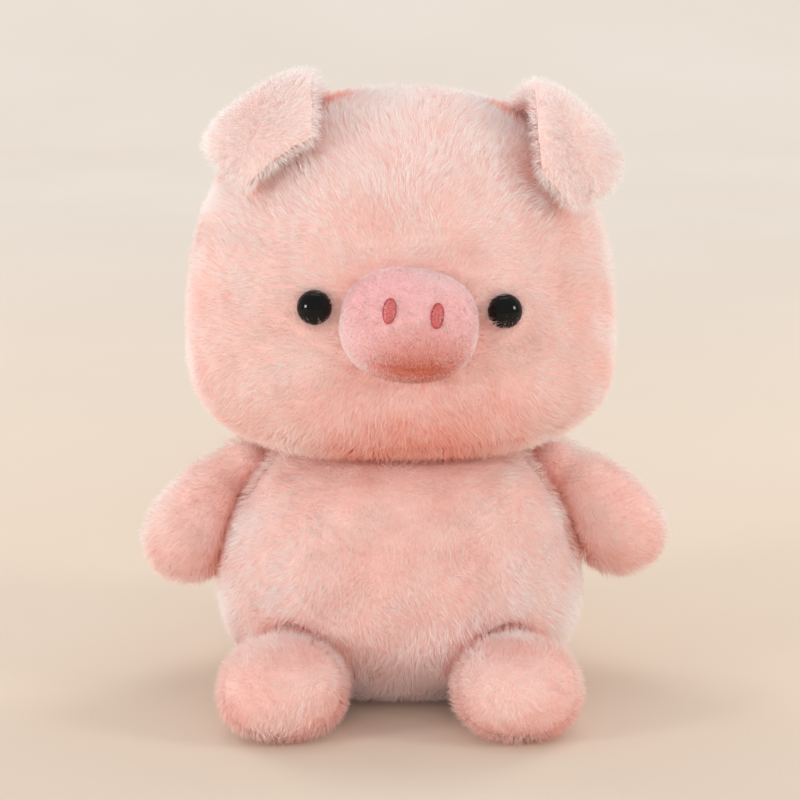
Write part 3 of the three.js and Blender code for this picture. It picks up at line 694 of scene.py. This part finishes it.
LIP_DROP, LIP_HALF, LIP_DEPTH = 12.5 * MM, 10 * MM, 1.5 * MM
LIP_WIDTH = 0.9 * MM
LIP_CURVE = 12
snout_level = centre("nostril_left") - centre("nostril_right")
snout_level = snout_level / np.linalg.norm(snout_level)
snout_up = np.cross((0.0, 1.0, 0.0), snout_level) * -1


def lip_crease(points):
    """How deep the snout is creased at each point, 0 to 1, and how far above the crease the point is."""
    out = points - muzzle
    above = out @ snout_up + LIP_DROP - LIP_CURVE * (out @ snout_level) ** 2
    return np.exp(-(above / LIP_WIDTH) ** 2 - (out @ snout_level / LIP_HALF) ** 4), above


snout_skin = stuffed("snout_skin", "snout_cover", "snout_stuffing", voxel=0.9 * MM, rounds=14)
spots = np.array([v.co for v in snout_skin.data.vertices])
for v, dent in zip(snout_skin.data.vertices, lip_crease(spots)[0]):
    v.co.y += LIP_DEPTH * dent
snout_skin.data.materials.append(velour)
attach(snout_skin, "head")
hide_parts("snout_cover", "snout_stuffing")

NAP = 1.3 * MM
NAP_DENSITY = 8.5e6
NAP_WIDTH = 0.18 * MM
NAP_TONE, RIM_PAINTED_SHEEN, NAP_FLECK = 0.83, 0.3, 0.22
LIP_PAINTED_LIGHT, LIP_CREASE_PAINTED_SHADE = 0.3, 0.35
velour_nap = fibre_finish(
    "velour_nap",
    [(0.0, (208, 96, 66)), (1.0, (230, 133, 102))],
    [(0.0, (255, 222, 223)), (1.0, (255, 248, 249))],
)
roots, normals = scatter(snout_skin, NAP_DENSITY, seed=71)
shown = gap_to(roots, 2 * MM, "head_cover") > 0.6 * MM
shown &= gap_to(roots, 2 * MM, "nostril_left", "nostril_right") > 0.25 * MM
roots, normals = roots[shown], normals[shown]
lay = (roots - muzzle) * 20 + np.array((0.0, 0.0, -1.0))
# Painted shade: the nap, like the velour, is deeper towards the foot of the pad.
across = (roots - muzzle) @ snout_level - SHADE_SIDE
lit = soft_step((roots - muzzle) @ snout_up + SHADE_CURVE * across ** 2, SHADE_LOW, SHADE_HIGH)
# Painted sheen: the nap is paler round the rim, where the pad turns away from the front.
rim = soft_step(1 + normals[:, 1], 0.15, 0.6)
# Painted shade: the nap is deeper where it meets the head.
tone = 0.02 + (NAP_TONE + RIM_PAINTED_SHEEN * rim) * lit - MUZZLE_PAINTED_SHADE * crease(roots, 3 * MM, "head_cover")
# Painted shade: the nap is deeper in the crease, and painted lighter again on the lip below it.
dent, above = lip_crease(roots)
tone += LIP_PAINTED_LIGHT * soft_step(-above, 0.8 * MM, 3 * MM) - LIP_CREASE_PAINTED_SHADE * dent
tone += NAP_FLECK * np.random.default_rng(73).normal(size=len(roots))
length = NAP * (1 - 0.6 * dent)
pile(
    "snout_nap", "head", velour_nap, roots, normals, lay, length, tone, seed=72,
    width=NAP_WIDTH, pull=0.5,
)


# Nostrils: two upright ovals of satin stitch in coral floss, each thread laid straight across the oval
# next to the last and pulled into the velour at both ends. A thin dark ring of floss round each oval is
# painted shade, for the shadow where the velour meets the stitches.

def floss(name, dark, light, gloss):
    """Embroidery thread of many fine strands."""
    material, dye = blank(name)
    spot = dye.node("TexCoord", {}, {}, "Object")
    strands = dye.node("TexNoise", {}, {"Vector": spot, "Scale": 2200.0, "Detail": 2.0})
    coat(dye, {"Base Color": mottled(dye, strands, dark, light), **gloss})
    return material


# Painted shade: a darker floss for the ring round each nostril, standing for the shadow at its edge.
shadow_edging = floss("nostril_shadow_floss", (186, 58, 66), (210, 90, 94), {"Roughness": 0.5})
filling = floss("floss", (188, 64, 68), (234, 138, 136), {"Roughness": 0.25, "Specular IOR Level": 0.9})

OVAL_SHARE = 0.87
THREAD = 0.65 * MM
THREAD_PITCH = 0.8
THREAD_SUNK = 0.5 * MM
THREAD_SLANT = math.radians(20)
OVERLAP = 0.15 * MM
SHADOW_EDGING_THICK = 0.09
SHADOW_EDGING_RISE = 2.6 * MM
for side in SIDES:
    middle, axes, spots = principal(f"nostril_{side}")
    tall, wide = (OVAL_SHARE * np.ptp((spots - middle) @ axis) / 2 for axis in axes[:2])
    outward = axes[2] * -np.sign(axes[2][1])
    up = axes[0] * np.sign(axes[0][2])
    turned = Matrix((np.cross(up, outward), up, outward)).transposed().to_4x4()
    bm = bmesh.new()
    count = int(2 * tall / THREAD / THREAD_PITCH)
    for number in range(count):
        row = -tall + (number + 0.5) * 2 * tall / count
        half = wide * (1 - (row / tall) ** 2) ** 0.7 + OVERLAP
        arch = 0.3 * half + OVERLAP
        bend = (half * half + arch * arch) / (2 * arch)
        swing = math.asin(min(1, half / bend))
        end = bmesh.ops.create_circle(
            bm, segments=6, radius=THREAD / 2, matrix=Matrix.Rotation(math.pi / 2, 4, "Y")
        )["verts"]
        edges = list({edge for v in end for edge in v.link_edges})
        bmesh.ops.translate(bm, vec=(0, row, bend), verts=end)
        bmesh.ops.rotate(bm, cent=(0, 0, 0), matrix=Matrix.Rotation(-swing, 3, "Y"), verts=end)
        bmesh.ops.spin(bm, geom=end + edges, cent=(0, 0, 0), axis=(0, 1, 0), angle=2 * swing, steps=8)
        thread = list(joined(end))
        bmesh.ops.translate(bm, vec=(0, 0, arch - bend - THREAD_SUNK), verts=thread)
        bmesh.ops.rotate(bm, cent=(0, row, 0), matrix=Matrix.Rotation(THREAD_SLANT, 3, "Z"), verts=thread)
    bmesh.ops.holes_fill(bm, edges=[edge for edge in bm.edges if edge.is_boundary], sides=0)
    threads = set(bm.faces)
    # A thin dark ring round the stitches, as painted shade.
    ring = bmesh.ops.create_circle(
        bm, segments=6, radius=SHADOW_EDGING_THICK, matrix=Matrix.Rotation(math.pi / 2, 4, "X")
    )["verts"]
    bmesh.ops.translate(bm, vec=(1, 0, 0), verts=ring)
    edges = list({edge for v in ring for edge in v.link_edges})
    bmesh.ops.spin(
        bm, geom=ring + edges, cent=(0, 0, 0), axis=(0, 0, 1), angle=2 * math.pi, steps=32, use_merge=True
    )
    faces = [face for face in bm.faces if face not in threads]
    for face in faces:
        face.material_index = 1
    bmesh.ops.scale(bm, vec=(wide, tall, SHADOW_EDGING_RISE), verts=list({v for face in faces for v in face.verts}))
    bmesh.ops.recalc_face_normals(bm, faces=bm.faces)
    bmesh.ops.transform(bm, matrix=Matrix.Translation(middle) @ turned, verts=bm.verts)
    stitched = place(f"nostril_{side}_stitch", bm)
    stitched.data.materials.append(filling)
    stitched.data.materials.append(shadow_edging)
    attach(stitched, "head")
    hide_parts(f"nostril_{side}")


# Eyes: moulded black plastic domes with a polished face, a thin rim and a stem that goes through the
# cloth. A pressed washer grips each stem inside the head.

eye_plastic, dye = blank("eye_plastic")
spot = dye.node("TexCoord", {}, {}, "Object")
haze = dye.node("TexNoise", {}, {"Vector": spot, "Scale": 500.0, "Detail": 4.0})
colour = mottled(dye, haze, (4, 3, 3), (8, 6, 6))
coat(dye, {"Base Color": colour, "Roughness": 0.03 + haze * 0.04, "Specular IOR Level": 0.25})

DOME_STEPS = 10
ROUND_STEPS = 40
for side in SIDES:
    spots = principal(f"eye_{side}")[2]
    gripped, axes, _ = principal(f"eye_{side}_washer")
    axis = axes[2] * -np.sign(axes[2][1])
    rise, reach = off_axis(spots, gripped, axis)
    rim = reach.max()
    top = rise.max()
    end = rise.min()
    edge_low, edge_high = rise[reach > rim * 0.98].min(), rise[reach > rim * 0.98].max()
    stem = np.median(reach[(reach > 0.1 * MM) & (rise < edge_low - 0.5 * MM)])
    outline = [(0.0, end), (stem, end), (stem, edge_low), (rim * 0.97, edge_low)]
    outline += [(rim, edge_low + 0.3 * (edge_high - edge_low)), (rim, edge_high)]
    for step in range(1, DOME_STEPS):
        turn = math.pi / 2 * step / DOME_STEPS
        outline.append((rim * math.cos(turn), edge_high + (top - edge_high) * math.sin(turn)))
    outline.append((0.0, top))
    bm = bmesh.new()
    line = [bm.verts.new((radius, 0, height)) for radius, height in outline]
    for pair in zip(line, line[1:]):
        bm.edges.new(pair)
    bmesh.ops.spin(
        bm, geom=bm.verts[:] + bm.edges[:], cent=(0, 0, 0), axis=(0, 0, 1), angle=2 * math.pi,
        steps=ROUND_STEPS, use_merge=True
    )
    bmesh.ops.remove_doubles(bm, verts=bm.verts, dist=0.01 * MM)
    bmesh.ops.recalc_face_normals(bm, faces=bm.faces)
    aim = Vector(axis).to_track_quat("Z", "X").to_matrix().to_4x4()
    bmesh.ops.transform(bm, matrix=Matrix.Translation(gripped) @ aim, verts=bm.verts)
    eye = place(f"eye_{side}_dome", bm)
    eye.data.materials.append(eye_plastic)
    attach(eye, "head")
    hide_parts(f"eye_{side}")

washer_plastic, dye = blank("washer_plastic")
spot = dye.node("TexCoord", {}, {}, "Object")
cloud = dye.node("TexNoise", {}, {"Vector": spot, "Scale": 400.0, "Detail": 3.0})
colour = mottled(dye, cloud, (224, 224, 220), (236, 236, 232))
coat(dye, {"Base Color": colour, "Roughness": 0.4 + cloud * 0.1})
for side in SIDES:
    washer = frame["nodes"][f"eye_{side}_washer"]
    washer.data.materials.clear()
    washer.data.materials.append(washer_plastic)


# Ears: a plush outer panel bagged out with a lining of short velvet, sewn into the crown and folded
# forward so that the plush shows and the lining faces the head.

velvet, dye = blank("ear_velvet")
spot = dye.node("TexCoord", {}, {}, "Object")
nap = dye.node("TexNoise", {}, {"Vector": spot, "Scale": 1500.0, "Detail": 4.0, "Roughness": 0.7})
colour = mottled(dye, nap, (246, 160, 156), (252, 182, 178))
bump = dye.node("Bump", {}, {"Height": nap, "Strength": 0.6, "Distance": 0.2 * MM})
coat(dye, {
    "Base Color": colour, "Roughness": 0.85, "Normal": bump, "Sheen Weight": 0.3, "Sheen Roughness": 0.4
})
ear_back = knitted("ear_backing", (254, 216, 208), (255, 226, 220))

EAR_DENSITY = DENSITY * 1.35
EAR_LEAN = (34, 60)
EAR_TONE, EAR_SHADE_AND_LINING_DEEPER = 1.1, 0.9
for number, side in enumerate(SIDES):
    ear = f"ear_{side}"
    ear_skin = cover(f"{ear}_skin", ear, 0.3, ear_back, f"{ear}_panel", voxel=0.9 * MM, rounds=6)
    lining = stuffed(f"{ear}_velvet", f"{ear}_lining", voxel=0.5 * MM, rounds=4)
    lining.data.materials.append(velvet)
    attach(lining, ear)
    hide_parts(f"{ear}_lining")
    roots, normals = scatter(ear_skin, EAR_DENSITY, seed=81 + number)
    shown = headroom(roots, normals, 2 * MM, f"{ear}_lining") > 1.9 * MM
    roots, normals = roots[shown], normals[shown]
    lay = roots - pivots[f"{ear}_lift"] + 3 * (roots - roots.mean(axis=0))
    # Painted shade: the ear's pile is deeper where it faces the head.
    tone = EAR_TONE - EAR_SHADE_AND_LINING_DEEPER * crease(roots, 9 * MM, "head_cover")
    # Deeper next to the lining: partly the pink of the lining showing at the edge, partly painted shade in
    # the fold.
    tone -= EAR_SHADE_AND_LINING_DEEPER * crease(roots, 4 * MM, f"{ear}_lining")
    pile(
        f"{ear}_pile", ear, plush_pile, roots, normals, lay, PILE, tone, seed=90 + 5 * number,
        lean=EAR_LEAN,
    )


# Tail: a thin tube of the same plush, stitched into a curl and sewn low on the back. Its pile is shorter
# and runs round the curl.

TAIL_DENSITY = DENSITY * 1.5
TAIL_PILE = 4 * MM
TAIL_TONE = 0.7
tail_skin = cover("tail_skin", "tail", 0.6, plush_back, "tail", voxel=0.9 * MM, rounds=6)
roots, normals = scatter(tail_skin, TAIL_DENSITY, seed=101)
shown = gap_to(roots, 2 * MM, "body_cover") > 1.5 * MM
roots, normals = roots[shown], normals[shown]
lay = np.cross(np.array((0.0, 1.0, 0.0)), roots - centre("tail"))
pile("tail_pile", "tail", plush_pile, roots, normals, lay, TAIL_PILE, TAIL_TONE, seed=102)
